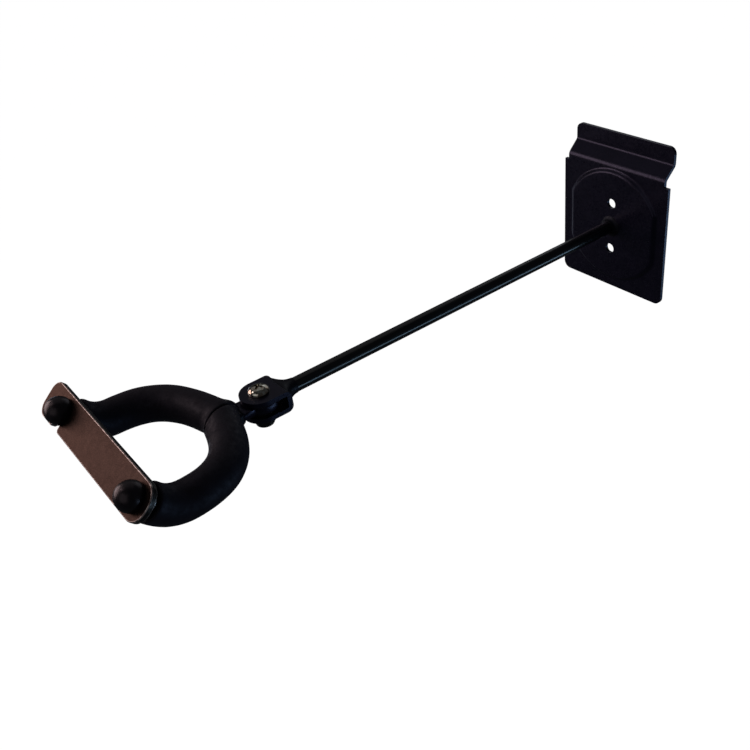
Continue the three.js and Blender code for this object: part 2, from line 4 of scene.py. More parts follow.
import bisect
import functools
import json
import math

import bmesh
import bpy
from mathutils import Matrix, Vector, noise


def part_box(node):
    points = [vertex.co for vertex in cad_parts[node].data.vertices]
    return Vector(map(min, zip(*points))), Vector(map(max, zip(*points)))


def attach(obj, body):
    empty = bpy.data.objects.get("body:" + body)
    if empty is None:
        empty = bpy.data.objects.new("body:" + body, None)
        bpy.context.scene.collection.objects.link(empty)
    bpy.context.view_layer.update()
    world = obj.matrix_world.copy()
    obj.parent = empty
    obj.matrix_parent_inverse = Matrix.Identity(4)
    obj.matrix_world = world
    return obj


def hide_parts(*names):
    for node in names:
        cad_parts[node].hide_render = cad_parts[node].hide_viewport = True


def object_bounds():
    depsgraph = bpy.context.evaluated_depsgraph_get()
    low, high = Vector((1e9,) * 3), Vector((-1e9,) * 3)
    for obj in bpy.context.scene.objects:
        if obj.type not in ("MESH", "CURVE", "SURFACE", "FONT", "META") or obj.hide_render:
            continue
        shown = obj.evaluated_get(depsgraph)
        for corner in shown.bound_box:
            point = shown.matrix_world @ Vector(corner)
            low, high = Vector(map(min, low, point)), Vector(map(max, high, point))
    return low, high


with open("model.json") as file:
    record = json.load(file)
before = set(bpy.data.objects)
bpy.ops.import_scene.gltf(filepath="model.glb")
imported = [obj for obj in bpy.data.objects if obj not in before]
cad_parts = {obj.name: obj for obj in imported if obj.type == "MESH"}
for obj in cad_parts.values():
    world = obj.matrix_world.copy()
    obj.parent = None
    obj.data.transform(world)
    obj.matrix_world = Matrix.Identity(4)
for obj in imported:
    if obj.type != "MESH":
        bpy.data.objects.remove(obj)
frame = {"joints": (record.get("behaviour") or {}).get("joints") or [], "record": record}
CAD_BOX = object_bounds()

MM = 0.001
TAU = 2 * math.pi
X = Vector((1, 0, 0))
Y = Vector((0, 1, 0))
Z = Vector((0, 0, 1))

RECORD = frame["record"]
SLOT = {part["node"]: part["material_slot"] for part in RECORD["subparts"]}
BODY = {node: body for body, nodes in RECORD["behaviour"]["bodies"].items() for node in nodes}
JOINT = {joint["name"]: joint for joint in frame["joints"]}

# ---- places, from the frame ----


def extent(node):
    """A node's lowest and highest corner, in millimetres."""
    low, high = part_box(node)
    return low / MM, high / MM


PIVOT = Vector(JOINT["yoke_swivel"]["pos_m"]) / MM  # on the swivel bolt's axis, at the arm's height
ARM_Z = PIVOT.z
GATE_PIVOT = Vector(JOINT["gate_swing"]["pos_m"]) / MM  # on the gate's back face
TIP = -Vector(JOINT["gate_swing"]["axis"]).normalized()  # the way the upturned tips point
TIP_ANGLE = math.asin(TIP.z)
TIP_BACK = TIP.cross(X)  # square to the tips, up and towards the wall

PLATE_LOW, PLATE_HIGH = extent("wall_plate")
ARM_LOW, ARM_HIGH = extent("arm_rod")
CLEVIS_LOW, CLEVIS_HIGH = extent("clevis_bracket")
TONGUE_LOW, TONGUE_HIGH = extent("yoke_tongue")

# ---- sizes, in millimetres ----

SHEET = 2.0  # wall plate thickness
PAD_RISE = -PLATE_LOW.y - SHEET
PAD_RADIUS = 35.3
PAD_HALF = 32.0
PAD_FLANK = 2.3
SHOULDER = 33.2  # heights on the plate are above the arm's axis
LIP_HALF = 35.2
CREASE_LOW = 37.1
CREASE_HIGH = 43.8
CREASE_RADIUS = 2.8
FOOT_CORNER = 4.6
LIP_CORNER = 4.0
SCREW_HOLE = 3.0
SCREW_HOLE_Z = 14.5
SPIGOT_HOLE = 3.1
PATCH = 4.5  # half of the square that a hole's ring of faces fills
GRID = 0.5

ARM_RADIUS = 3.75
SPIGOT_RADIUS = 2.8
PEEN_RADIUS = 4.6
STRAP = 2.5
STRAP_BEND = 3.4
EAR_OUTSIDE = CLEVIS_HIGH.z - ARM_Z
EAR_INSIDE = EAR_OUTSIDE - STRAP
EAR_RADIUS = CLEVIS_HIGH.x
BOLT_RADIUS = 3.0
BOLT_HOLE = 3.3
HEAD_RADIUS = 5.3
NUT_FLATS = 10.0

YOKE_Z = 2.0  # the rod is welded a little above the tongue's middle
YOKE_HALF = GATE_PIVOT.x
YOKE_BACK = 21.7  # bolt to the point where the two prongs' centre lines meet
YOKE_SPREAD = math.radians(32.5)  # each prong leaves that point this far forward of sideways
YOKE_DEPTH = 37.3  # from that point forward to where the prongs turn up
POINT_PULL = 8.2  # lengths of the curve's handles at the point and at the side
SIDE_PULL = 32.7
TIP_BEND = 19.25
TIP_RUN = 2.59  # straight length past the bend
TONGUE_HALF = 5.6
ROD_RADIUS = 4.0
NECK_RADIUS = 2.5
NECK_END = 13.5
ROD_SHOULDER = 0.9
GATE_BACK = 3.9  # along a tip, from the end of its straight run
GATE_THICK = 3.0
FOAM_RADIUS = 9.0
FOAM_BORE = 4.3
COLLAR_RADIUS = 7.4
COLLAR_THICK = 2.6
BALL_RADIUS = 6.9
BALL_LIFT = 2.1
GAP = 0.3
FIT = 0.05

# ---- mesh tools ----


def mesh_object(name, points, faces):
    """A closed mesh with its faces turned outwards. Points are in millimetres."""
    mesh = bpy.data.meshes.new(name)
    mesh.from_pydata([p * MM for p in points], [], faces)
    bm = bmesh.new()
    bm.from_mesh(mesh)
    bmesh.ops.remove_doubles(bm, verts=bm.verts, dist=1e-3 * MM)
    bmesh.ops.dissolve_degenerate(bm, edges=bm.edges, dist=1e-4 * MM)
    bmesh.ops.recalc_face_normals(bm, faces=bm.faces)
    bm.to_mesh(mesh)
    bm.free()
    obj = bpy.data.objects.new(name, mesh)
    bpy.context.scene.collection.objects.link(obj)
    return obj


def loft(name, rings, closed=False):
    """A skin through rings of equal count, with flat ends, or joined end to start."""
    count = len(rings[0])
    faces = []
    for i in range(len(rings) if closed else len(rings) - 1):
        a = i * count
        b = (i + 1) % len(rings) * count
        for k in range(count):
            n = (k + 1) % count
            faces.append((a + k, a + n, b + n, b + k))
    if not closed:
        faces.append(tuple(range(count)))
        faces.append(tuple(range((len(rings) - 1) * count, len(rings) * count)))
    return mesh_object(name, [p for ring in rings for p in ring], faces)


def turned(name, profile, at, axis, segments=72, closed=False):
    """A solid of revolution round the line through `at`; the profile is (radius, height) pairs."""
    across = axis.orthogonal().normalized()
    along = axis.cross(across)
    rings = []
    for r, h in profile:
        turn = [TAU * k / segments for k in range(segments)]
        rings.append([at + axis * h + (across * math.cos(a) + along * math.sin(a)) * r for a in turn])
    return loft(name, rings, closed)


def prism(name, outline, place, low, high):
    """A flat outline made thick; `place` turns (across, up, level) into a point."""
    return loft(name, [[place(a, b, level) for a, b in outline] for level in (low, high)])


def rounded(points, radius, steps=5, closed=True):
    """The outline with each corner turned into an arc; `radius` is one number or one per corner."""
    count = len(points)
    radii = radius if isinstance(radius, (list, tuple)) else [radius] * count
    out = []
    for i, r in enumerate(radii):
        corner = Vector(points[i])
        if not r or (not closed and i in (0, count - 1)):
            out.append(tuple(corner))
            continue
        before = Vector(points[i - 1]) - corner
        after = Vector(points[(i + 1) % count]) - corner
        half = before.angle(after) / 2
        reach = min(r / math.tan(half), before.length / 2, after.length / 2)
        fitted = reach * math.tan(half)
        middle = (before.normalized() + after.normalized()).normalized()
        centre = corner + middle * (fitted / math.sin(half))
        start = corner + before.normalized() * reach - centre
        sweep = math.pi - 2 * half
        if before.cross(after) > 0:
            sweep = -sweep
        for k in range(steps + 1):
            out.append(tuple(centre + Matrix.Rotation(sweep * k / steps, 2) @ start))
    return out


def arc(cx, cy, r, start, end, steps):
    """Points of a circular arc between two angles in degrees."""
    angles = [math.radians(start + (end - start) * k / steps) for k in range(steps + 1)]
    return [(cx + r * math.cos(a), cy + r * math.sin(a)) for a in angles]


def carve(obj, tool, operation="DIFFERENCE"):
    """Cuts, joins or intersects obj with tool, which is used up."""
    modifier = obj.modifiers.new("carve", "BOOLEAN")
    modifier.operation = operation
    modifier.solver = "EXACT"
    modifier.object = tool
    depsgraph = bpy.context.evaluated_depsgraph_get()
    mesh = bpy.data.meshes.new_from_object(obj.evaluated_get(depsgraph))
    obj.modifiers.clear()
    obj.data = mesh
    bpy.data.objects.remove(tool)
    return obj


def drill(obj, radius, low, high, at=PIVOT, axis=Z, segments=48):
    """Bores a round hole along the line through `at`, between two heights on it."""
    bit = [(0, low), (radius, low), (radius, high), (0, high)]
    carve(obj, turned("drill", bit, at, axis, segments))


def bevel(obj, width, segments=3, angle=30):
    """Rounds every edge sharper than `angle`."""
    modifier = obj.modifiers.new("bevel", "BEVEL")
    modifier.width = width * MM
    modifier.segments = segments
    modifier.limit_method = "ANGLE"
    modifier.angle_limit = math.radians(angle)
    modifier.harden_normals = True
    return obj


def smoothstep(t):
    t = min(max(t, 0.0), 1.0)
    return t * t * (3 - 2 * t)


# ---- materials ----


class Finish:
    """A procedural material: one Principled surface fed by textures in object space."""

    def __init__(self, name, **values):
        self.material = bpy.data.materials.new(name)
        self.material.use_nodes = True
        self.tree = self.material.node_tree
        self.surface = self.tree.nodes["Principled BSDF"]
        self.place = self.node("ShaderNodeTexCoord").outputs["Object"]
        self.height = None
        for key, value in values.items():
            self.surface.inputs[key.replace("_", " ")].default_value = value

    def node(self, kind, inputs=None, **settings):
        node = self.tree.nodes.new(kind)
        for key, value in settings.items():
            setattr(node, key, value)
        for key, value in (inputs or {}).items():
            if isinstance(value, bpy.types.NodeSocket):
                self.tree.links.new(value, node.inputs[key])
            else:
                node.inputs[key].default_value = value
        return node

    def noise(self, size, detail=3.0, stretch=(1, 1, 1), roughness=0.55):
        """Cloudy noise with features `size` millimetres across, drawn out along an axis by `stretch`."""
        scale = [1 / (size * MM * s) for s in stretch]
        mapping = self.node("ShaderNodeMapping", {"Vector": self.place, "Scale": scale})
        inputs = {"Vector": mapping.outputs[0], "Scale": 1.0, "Detail": detail, "Roughness": roughness}
        return self.node("ShaderNodeTexNoise", inputs).outputs[0]

    def cells(self, size):
        """Distance to the nearest cell centre in a pattern of cells `size` millimetres across."""
        inputs = {"Vector": self.place, "Scale": 1 / (size * MM)}
        return self.node("ShaderNodeTexVoronoi", inputs).outputs["Distance"]

    def spread(self, value, low, high, start=0.3, end=0.7):
        """Maps value from start..end to low..high."""
        inputs = {"Value": value, "From Min": start, "From Max": end, "To Min": low, "To Max": high}
        return self.node("ShaderNodeMapRange", inputs, interpolation_type="SMOOTHSTEP").outputs[0]

    def times(self, a, b):
        return self.node("ShaderNodeMath", {0: a, 1: b}, operation="MULTIPLY").outputs[0]

    def blend(self, share, a, b):
        node = self.node("ShaderNodeMix", {"Factor": share}, data_type="RGBA")
        for socket, value in ((node.inputs[6], a), (node.inputs[7], b)):
            if isinstance(value, bpy.types.NodeSocket):
                self.tree.links.new(value, socket)
            else:
                socket.default_value = (*value, 1)
        return node.outputs[2]

    def edges(self, radius, reach=0.16):
        """1 on edges rounder than `radius` millimetres, 0 on open faces, broken up by noise."""
        soft = self.node("ShaderNodeBevel", {"Radius": radius * MM}, samples=4).outputs[0]
        plain = self.node("ShaderNodeNewGeometry").outputs["Normal"]
        dot = self.node("ShaderNodeVectorMath", {0: soft, 1: plain}, operation="DOT_PRODUCT")
        mask = self.spread(dot.outputs["Value"], 1.0, 0.0, 1 - reach, 0.995)
        return self.times(mask, self.spread(self.noise(1.7, 4), 0.15, 1.0, 0.35, 0.65))

    def bump(self, height, depth):
        """Adds relief `depth` millimetres deep on top of what is there."""
        inputs = {"Height": height, "Distance": depth * MM, "Strength": 1.0}
        if self.height:
            inputs["Normal"] = self.height
        self.height = self.node("ShaderNodeBump", inputs).outputs[0]
        self.tree.links.new(self.height, self.surface.inputs["Normal"])

    def use(self, **sockets):
        for key, socket in sockets.items():
            self.tree.links.new(socket, self.surface.inputs[key.replace("_", " ")])


def satin_black():
    """Powder coat: fine orange peel, faint mottling, scuffed a little paler along the edges."""
    f = Finish("satin_black_paint", Specular_IOR_Level=0.42, Specular_Tint=(0.66, 0.63, 1, 1))
    mottle = f.blend(f.spread(f.noise(9, 4), 0, 1), (0.0026, 0.0025, 0.0088), (0.0056, 0.0049, 0.014))
    f.use(Base_Color=f.blend(f.edges(0.5), mottle, (0.034, 0.036, 0.044)))
    f.use(Roughness=f.spread(f.noise(1.4, 4), 0.27, 0.36))
    f.bump(f.noise(0.9, 2), 0.007)
    f.bump(f.noise(0.3, 1), 0.0015)
    return f.material


def gloss_black():
    """Enamel over drawn rod: smooth, with slow ripples and hairlines along its length."""
    f = Finish("gloss_black_enamel", Specular_IOR_Level=0.5, Coat_Weight=0.25, Coat_Roughness=0.08)
    tone = f.blend(f.spread(f.noise(14, 3), 0, 1), (0.0025, 0.0035, 0.0055), (0.005, 0.0065, 0.0095))
    f.use(Base_Color=f.blend(f.edges(0.4), tone, (0.03, 0.036, 0.045)))
    f.use(Roughness=f.spread(f.noise(3, 4, (0.4, 9, 0.4)), 0.17, 0.31))
    f.bump(f.noise(5, 2, (0.8, 5, 0.8)), 0.03)
    f.bump(f.noise(0.5, 2, (0.5, 14, 0.5)), 0.002)
    return f.material


def painted_weld():
    """A bead under the same black paint, lumpier and glossier in its hollows."""
    f = Finish("painted_weld_bead", Specular_IOR_Level=0.2, Specular_Tint=(0.72, 0.76, 1, 1))
    tone = f.blend(f.spread(f.noise(2.5, 4), 0, 1), (0.003, 0.0032, 0.006), (0.008, 0.0085, 0.013))
    f.use(Base_Color=tone)
    f.use(Roughness=f.spread(f.noise(1.2, 3), 0.36, 0.52))
    f.bump(f.noise(1.3, 3), 0.03)
    return f.material


def bright_chrome():
    """Polished plating with faint smears and fine turning marks; brown and pale yellow patches in its
    colour are painted reflections.
    """
    f = Finish("bright_chrome_plate", Metallic=1.0)
    # the brown and pale yellow patches are painted reflections
    f.use(Base_Color=f.blend(f.spread(f.noise(1.8, 4), 0, 1), (0.42, 0.3, 0.22), (0.9, 0.91, 0.8)))
    f.use(Roughness=f.spread(f.noise(0.9, 5), 0.04, 0.14))
    f.bump(f.noise(0.8, 3), 0.006)
    return f.material


def dark_zinc():
    """Black zinc plate, brushed, brighter where a spanner or a washer rubs it."""
    f = Finish("black_zinc_plate", Metallic=0.9)
    tone = f.blend(f.spread(f.noise(1.5, 4), 0, 1), (0.022, 0.022, 0.025), (0.06, 0.06, 0.064))
    f.use(Base_Color=f.blend(f.edges(0.35), tone, (0.26, 0.25, 0.24)))
    f.use(Roughness=f.spread(f.noise(0.6, 4, (1, 1, 0.3)), 0.28, 0.46))
    f.bump(f.noise(0.35, 3, (1, 1, 0.3)), 0.005)
    return f.material


def black_nylon():
    """Moulded nylon with a fine, even texture."""
    f = Finish("moulded_black_nylon", Specular_IOR_Level=0.4)
    f.use(Base_Color=f.blend(f.spread(f.noise(1.2, 3), 0, 1), (0.011, 0.011, 0.012), (0.022, 0.022, 0.023)))
    f.use(Roughness=f.spread(f.noise(0.5, 2), 0.45, 0.62))
    f.bump(f.noise(0.3, 2), 0.01)
    return f.material


def black_foam():
    """Closed-cell foam with a soft skin: tiny pores, slow cloudy sheen."""
    f = Finish("black_foam_skin", Specular_IOR_Level=0.3, Specular_Tint=(0.8, 0.76, 1, 1))
    f.surface.inputs["Sheen Weight"].default_value = 0.06
    f.surface.inputs["Sheen Roughness"].default_value = 0.45
    f.surface.inputs["Sheen Tint"].default_value = (0.75, 0.72, 0.9, 1)
    clouds = f.spread(f.noise(6, 5), 0, 1)
    f.use(Base_Color=f.blend(clouds, (0.0036, 0.003, 0.006), (0.009, 0.0075, 0.0125)))
    f.use(Roughness=f.spread(f.noise(3.5, 4), 0.5, 0.74))
    f.bump(f.noise(2.6, 3), 0.07)
    f.bump(f.cells(0.34), 0.022)
    return f.material


def black_rubber():
    """Smooth moulded rubber with a soft bloom."""
    f = Finish("smooth_black_rubber", Specular_IOR_Level=0.5, Specular_Tint=(1, 0.82, 0.9, 1))
    tone = f.blend(f.spread(f.noise(4, 4), 0, 1), (0.0035, 0.0036, 0.005), (0.0085, 0.008, 0.0105))
    f.use(Base_Color=tone)
    f.use(Roughness=f.spread(f.noise(2.2, 4), 0.27, 0.37))
    f.bump(f.noise(0.45, 2), 0.006)
    return f.material


def bronzed_steel():
    """Rolled strip under a warm dark plating: cloudy tone, fine rolling lines, a pale highlight painted
    along the edges.
    """
    f = Finish("bronzed_steel_strip", Metallic=0.8, Specular_IOR_Level=0.4)
    f.surface.inputs["Specular Tint"].default_value = (0.7, 0.54, 0.49, 1)
    clouds = f.blend(f.spread(f.noise(7, 5), 0, 1), (0.021, 0.0136, 0.0118), (0.033, 0.0216, 0.0187))
    grain = f.blend(f.spread(f.noise(0.4, 3, (2, 1, 1)), 0, 0.8), clouds, (0.056, 0.0345, 0.029))
    # the pale colour along the edges is a painted highlight
    f.use(Base_Color=f.blend(f.edges(0.7), grain, (0.5, 0.4, 0.37)))
    f.use(Roughness=f.spread(f.noise(2.6, 4), 0.41, 0.47))
    f.bump(f.noise(0.5, 3, (8, 1, 1)), 0.005)
    f.bump(f.noise(4, 2), 0.006)
    return f.material


def sheared_steel():
    """The strip's cut edge: paler steel with shear marks across it."""
    f = Finish("sheared_steel_edge", Metallic=0.8)
    tone = f.blend(f.spread(f.noise(1.1, 4), 0, 1), (0.016, 0.0145, 0.015), (0.07, 0.065, 0.062))
    f.use(Base_Color=tone)
    f.use(Roughness=f.spread(f.noise(0.8, 4), 0.3, 0.5))
    f.bump(f.noise(0.4, 3, (0.5, 6, 6)), 0.012)
    return f.material


def rim_highlight():
    """The strip's rounded arris, painted pale as a highlight where the edge catches the light."""
    f = Finish("steel_rim_painted_highlight", Metallic=0.85)
    # the pale colours on the arris are a painted highlight
    f.use(Base_Color=f.blend(f.spread(f.noise(1.6, 5), 0, 1), (0.16, 0.12, 0.115), (0.62, 0.53, 0.5)))
    f.use(Roughness=f.spread(f.noise(0.7, 4), 0.26, 0.42))
    f.bump(f.noise(0.4, 3), 0.008)
    return f.material


MATERIALS = {
    "satin_black_steel": satin_black(),
    "gloss_black_steel": gloss_black(),
    "painted_weld": painted_weld(),
    "bright_chrome": bright_chrome(),
    "dark_zinc": dark_zinc(),
    "black_nylon": black_nylon(),
    "black_foam": black_foam(),
    "black_rubber": black_rubber(),
    "bronzed_steel": bronzed_steel(),
}


def show(obj, node, sharp=40):
    """Gives a finished piece its finish and lets it stand for its node."""
    mesh = obj.data
    if not mesh.materials:
        mesh.materials.append(MATERIALS[SLOT[node]])
    mesh.polygons.foreach_set("use_smooth", [True] * len(mesh.polygons))
    mesh.set_sharp_from_angle(angle=math.radians(sharp))
    obj.name = f"{node}_fine"
    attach(obj, BODY[node])
    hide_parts(node)
    return obj


# ---- wall plate ----


def stops(values, step):
    """Even steps of about `step` that land on every one of the values."""
    out = [values[0]]
    for a, b in zip(values, values[1:]):
        count = max(1, round((b - a) / step))
        out += [a + (b - a) * i / count for i in range(1, count + 1)]
    return out


def sheet_rows(bottom, top):
    """Rows (y, z, lean) of the sheet's middle layer, from the foot of the plate to the top of its lip."""
    start = -SHEET / 2
    end = PLATE_HIGH.y - SHEET / 2
    lean = math.atan2(end - start, CREASE_HIGH - CREASE_LOW)
    reach = CREASE_RADIUS * math.tan(lean / 2)
    bend_steps = 8
    holes = [s * SCREW_HOLE_Z + d for s in (-1, 0, 1) for d in (-PATCH, PATCH)]
    body = [bottom, bottom + FOOT_CORNER, *holes, SHOULDER, CREASE_LOW - reach]
    rows = [(start, z, 0.0) for z in stops(body, GRID)]
    bend = [lean * k / bend_steps for k in range(1, bend_steps + 1)]
    for a in bend:
        y = start + CREASE_RADIUS * (1 - math.cos(a))
        rows.append((y, CREASE_LOW - reach + CREASE_RADIUS * math.sin(a), a))
    y0, z0, _ = rows[-1]
    y1 = end - CREASE_RADIUS * (1 - math.cos(lean))
    z1 = CREASE_HIGH + reach - CREASE_RADIUS * math.sin(lean)
    steps = max(1, round(math.hypot(y1 - y0, z1 - z0) / GRID))
    rows += [(y0 + (y1 - y0) * k / steps, z0 + (z1 - z0) * k / steps, lean) for k in range(1, steps + 1)]
    for a in reversed([0.0] + bend[:-1]):
        y = end - CREASE_RADIUS * (1 - math.cos(a))
        rows.append((y, CREASE_HIGH + reach - CREASE_RADIUS * math.sin(a), a))
    rows += [(end, z, 0.0) for z in stops([CREASE_HIGH + reach, top - LIP_CORNER, top], GRID)[1:]]
    return rows


def corner_place(x, z, corner_x, corner_z, radius):
    """Draws a place in the square block past (corner_x, corner_z) into the corner's quarter disc."""
    across = (abs(x) - corner_x) / radius
    up = abs(z - corner_z) / radius
    dx = radius * across * math.sqrt(1 - up * up / 2)
    dz = radius * up * math.sqrt(1 - across * across / 2)
    return math.copysign(corner_x + dx, x), corner_z + math.copysign(dz, z - corner_z)


def pad_rise(x, z):
    """How far the pressed pad stands proud at a place on the plate."""
    inside = min(PAD_RADIUS - math.hypot(x, z), PAD_HALF - abs(x))
    return PAD_RISE * smoothstep(inside / PAD_FLANK)


def nearest(values, target):
    """Which of the values lies closest to the target."""
    return min(range(len(values)), key=lambda i: abs(values[i] - target))


class Layer:
    """The middle layer of the pressed sheet, which gets its thickness at the end."""

    def __init__(self):
        self.points = []
        self.fronts = []  # the way the sheet faces at each point
        self.faces = []

    def vertex(self, x, y, z, lean=0.0):
        self.points.append(Vector((x, y, z + ARM_Z)))
        self.fronts.append(Vector((0, -math.cos(lean), math.sin(lean))))
        return len(self.points) - 1

    def thicken(self, name, thickness):
        """Two skins and a rim along every open edge."""
        count = len(self.points)
        sheet = list(zip(self.points, self.fronts))
        skins = [p + f * (thickness / 2) for p, f in sheet] + [p - f * (thickness / 2) for p, f in sheet]
        directed = {(a, b) for face in self.faces for a, b in zip(face, face[1:] + face[:1])}
        solid = self.faces + [[v + count for v in reversed(face)] for face in self.faces]
        solid += [[b, a, a + count, b + count] for a, b in directed if (b, a) not in directed]
        return mesh_object(name, skins, solid)


def plate_grid(layer, rows, columns):
    """The sheet's points by column and row, drawn in at its rounded corners and raised over the pad."""
    foot_x = PLATE_HIGH.x - FOOT_CORNER
    foot_z = rows[0][1] + FOOT_CORNER
    lip_x = LIP_HALF - LIP_CORNER
    lip_z = rows[-1][1] - LIP_CORNER
    index = {}
    for j, (y, z, lean) in enumerate(rows):
        for i, x in enumerate(columns):
            if z > SHOULDER + FIT and abs(x) > LIP_HALF + FIT:
                continue
            px, pz = x, z
            if z < foot_z and abs(x) > foot_x:
                px, pz = corner_place(x, z, foot_x, foot_z, FOOT_CORNER)
            if z > lip_z and abs(x) > lip_x:
                px, pz = corner_place(x, z, lip_x, lip_z, LIP_CORNER)
            on_wall = lean == 0 and y < 0
            index[i, j] = layer.vertex(px, y - (pad_rise(px, pz) if on_wall else 0), pz, lean)
    return index


def hole_rings(layer, index, rows, columns, hole_z, radius):
    """Rings of faces that lead from a square patch of the grid to a round hole."""
    left = nearest(columns, -PATCH)
    right = nearest(columns, PATCH)
    heights = [z for _, z, _ in rows]
    low = nearest(heights, hole_z - PATCH)
    high = nearest(heights, hole_z + PATCH)
    border = [(i, low) for i in range(left, right)] + [(right, j) for j in range(low, high)]
    border += [(i, high) for i in range(right, left, -1)] + [(left, j) for j in range(high, low, -1)]
    rings = [[index[c] for c in border]]
    for share in (0.62, 0.3, 0.0):
        ring = []
        for i, j in border:
            flat = Vector((columns[i], heights[j] - hole_z))
            p = (flat.normalized() * radius).lerp(flat, share)
            ring.append(layer.vertex(p.x, rows[j][0] - PAD_RISE, p.y + hole_z))
        rings.append(ring)
    for outer, inner in zip(rings, rings[1:]):
        for k in range(len(border)):
            n = (k + 1) % len(border)
            layer.faces.append([outer[k], outer[n], inner[n], inner[k]])


def wall_plate():
    """The pressed plate: flat border, round-ended pad, three holes and the hooked lip."""
    rows = sheet_rows(PLATE_LOW.z - ARM_Z, PLATE_HIGH.z - ARM_Z)
    marks = [PLATE_HIGH.x, LIP_HALF, PLATE_HIGH.x - FOOT_CORNER, LIP_HALF - LIP_CORNER, PATCH]
    columns = stops([-x for x in marks] + marks[::-1], GRID)
    holes = [(SCREW_HOLE_Z, SCREW_HOLE), (0.0, SPIGOT_HOLE), (-SCREW_HOLE_Z, SCREW_HOLE)]
    layer = Layer()
    index = plate_grid(layer, rows, columns)

    def in_patch(x, z):
        return abs(x) < PATCH and any(abs(z - hole_z) < PATCH for hole_z, _ in holes)

    for j in range(len(rows) - 1):
        for i in range(len(columns) - 1):
            corners = [(i, j), (i + 1, j), (i + 1, j + 1), (i, j + 1)]
            middle_x = (columns[i] + columns[i + 1]) / 2
            middle_z = (rows[j][1] + rows[j + 1][1]) / 2
            if in_patch(middle_x, middle_z) or not all(c in index for c in corners):
                continue
            layer.faces.append([index[c] for c in corners])

    for hole_z, radius in holes:
        hole_rings(layer, index, rows, columns, hole_z, radius)
    plate = layer.thicken("wall_plate_fine", SHEET)
    show(bevel(plate, 0.22, 3, 50), "wall_plate", sharp=50)


# ---- arm ----


def arm():
    """A drawn rod with its turned-down end riveted over behind the plate."""
    back = -ARM_HIGH.y
    length = -ARM_LOW.y
    front = SHEET + PAD_RISE + GAP
    chamfer = 0.4
    profile = [(0, back), (PEEN_RADIUS - 0.9, back), (PEEN_RADIUS, back + 0.55)]
    profile += [(PEEN_RADIUS, PAD_RISE - GAP), (SPIGOT_RADIUS, PAD_RISE - GAP)]
    profile += [(SPIGOT_RADIUS, front), (ARM_RADIUS, front)]
    profile += [(ARM_RADIUS, length * k / 40) for k in range(4, 40)]
    profile += [(ARM_RADIUS, length - chamfer), (ARM_RADIUS - chamfer, length), (0, length)]
    show(turned("arm", profile, Vector((0, 0, ARM_Z)), -Y, 64), "arm_rod")


def base_weld():
    """A ring of overlapping bead round the arm where it meets the plate."""
    low, high = extent("arm_base_weld")
    length = high.y - low.y
    leg = high.x - ARM_RADIUS - FIT
    toe = 0.3  # the bead's thickness at its thin end
    around = 96
    beads = 7
    hollow = [math.radians(d) for d in range(8, 91, 9)]
    rings = []
    for k in range(around):
        a = TAU * k / around
        lump = noise.noise(Vector((math.cos(a), math.sin(a), 0)) * 2)
        swell = 1 + 0.1 * abs(math.sin(beads * a / 2)) + 0.1 * lump
        out = Vector((math.cos(a), 0, math.sin(a)))
        section = [(0, 0), (leg * 0.93 * swell, 0)]
        for t in hollow:
            thick = toe + (leg * swell - 0.5) * (1 - math.sin(t))
            section.append((thick, 0.25 + length * 0.9 * (1 - math.cos(t))))
        section.append((0, length))
        rings.append([Vector((0, high.y - h, ARM_Z)) + out * (ARM_RADIUS + FIT + r) for r, h in section])
    show(loft("base_weld", rings, closed=True), "arm_base_weld", sharp=60)


def flare_weld():
    """The broad concave fillet that spreads the arm's end over the clevis web and its bends."""
    _, high = extent("clevis_weld")
    web = CLEVIS_HIGH.y + FIT
    length = high.y - web
    flat = EAR_OUTSIDE - STRAP_BEND
    toe = ARM_RADIUS + 0.25
    around = 88
    steps = 20
    rings = []
    for t in range(steps + 1):
        a = t / steps * math.pi / 2
        fade = 1 - math.sin(a)
        wide = toe + (high.x - toe) * fade
        tall = toe + (EAR_OUTSIDE - GAP - toe) * min(1, 1.1 * fade**0.7)
        power = 2 + 3 * fade  # the section turns from a round into a rounded oblong
        ring = []
        for k in range(around):
            u = TAU * k / around
            c, s = math.cos(u), math.sin(u)
            lump = 0.08 * noise.noise(Vector((c * 2, t * 0.2, s * 2))) * (1 - fade)
            px = math.copysign(abs(c) ** (2 / power), c) * (wide + lump)
            pz = math.copysign(abs(s) ** (2 / power), s) * (tall + lump)
            over = min(max(abs(pz) - flat, 0), STRAP_BEND)
            sink = (STRAP_BEND - math.sqrt(STRAP_BEND**2 - over**2)) * fade**3
            ring.append(Vector((px, web - sink + length * (1 - math.cos(a)), ARM_Z + pz)))
        rings.append(ring)
    bore = ARM_RADIUS + FIT
    turn = [TAU * k / around for k in range(around)]
    for y in (high.y, web):
        rings.append([Vector((bore * math.cos(u), y, ARM_Z + bore * math.sin(u))) for u in turn])
    show(loft("flare_weld", rings, closed=True), "clevis_weld", sharp=50)


# ---- clevis and its bolt ----


def level_place(a, b, level):
    return Vector((a, b, level))


def side_place(a, b, level):
    return Vector((level, a, b))


